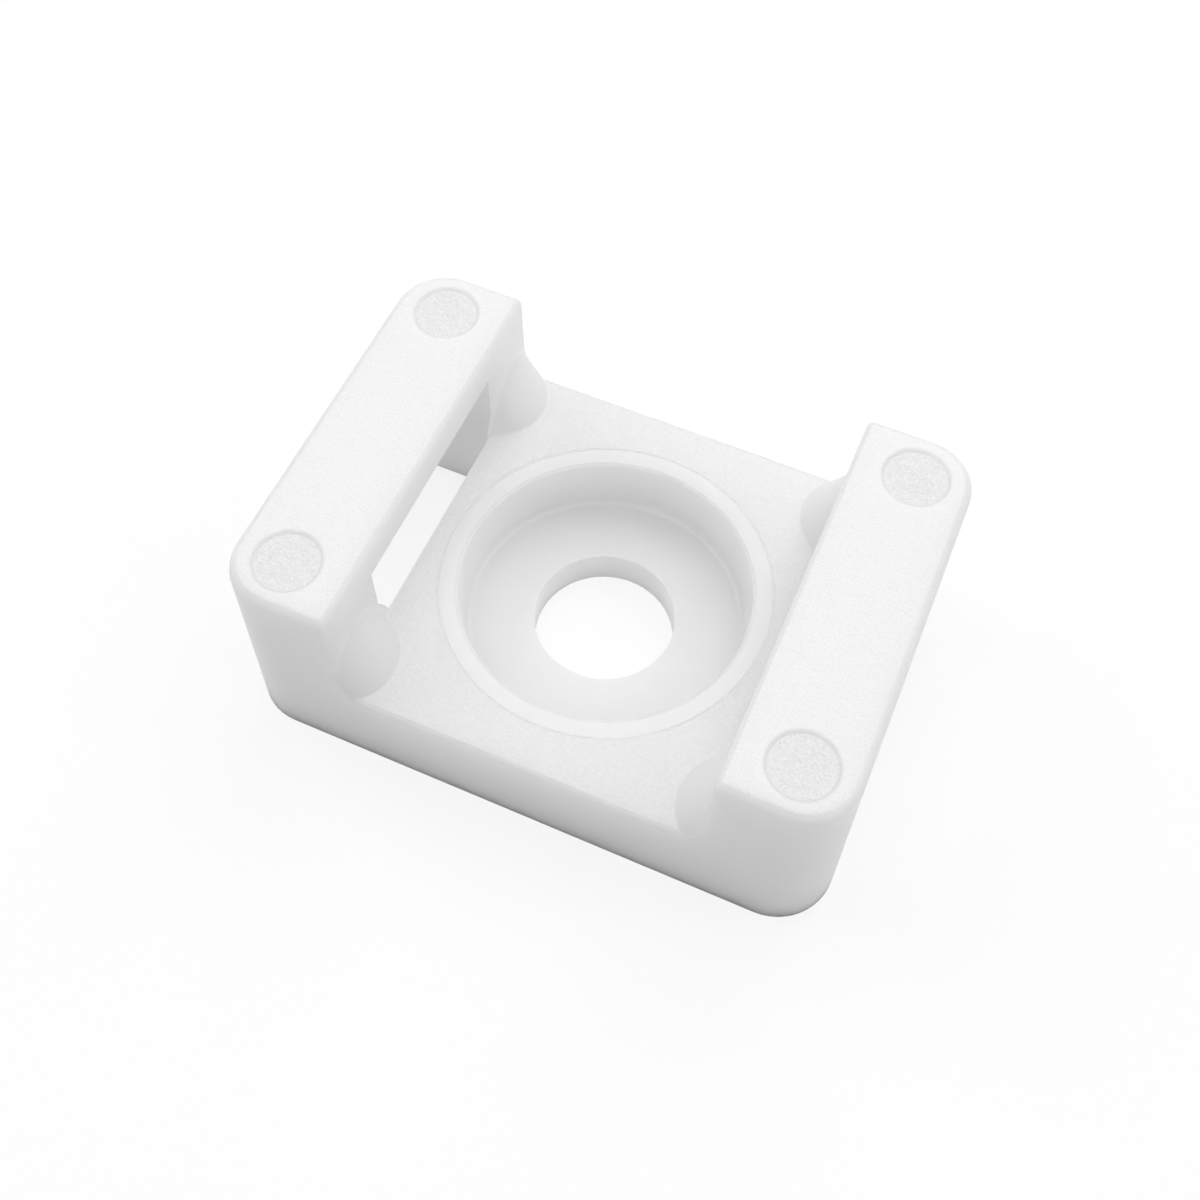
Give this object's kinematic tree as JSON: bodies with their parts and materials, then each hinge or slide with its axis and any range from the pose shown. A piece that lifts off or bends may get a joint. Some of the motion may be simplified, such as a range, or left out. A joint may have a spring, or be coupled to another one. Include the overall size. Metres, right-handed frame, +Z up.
{
  "type": "cable tie mount",
  "caption": "Rectangular saddle mount for cable ties: base plate with counterbored screw hole, tie slots under two raised bars, open cradle between them.",
  "frame": {"origin": "middle of the underside, on the axis of the screw hole", "axes": "+Z up, out of the screw hole; +X along the length, from one arm to the other; +Y along the bars"},
  "size_m": [0.022, 0.0156, 0.0081],
  "materials": {
    "nylon": "natural milky nylon, slightly translucent, fine spark-eroded grain on the tops"
  },
  "bodies": {
    "root": {"cable_tie_mount": "nylon"}
  },
  "joints": []
}
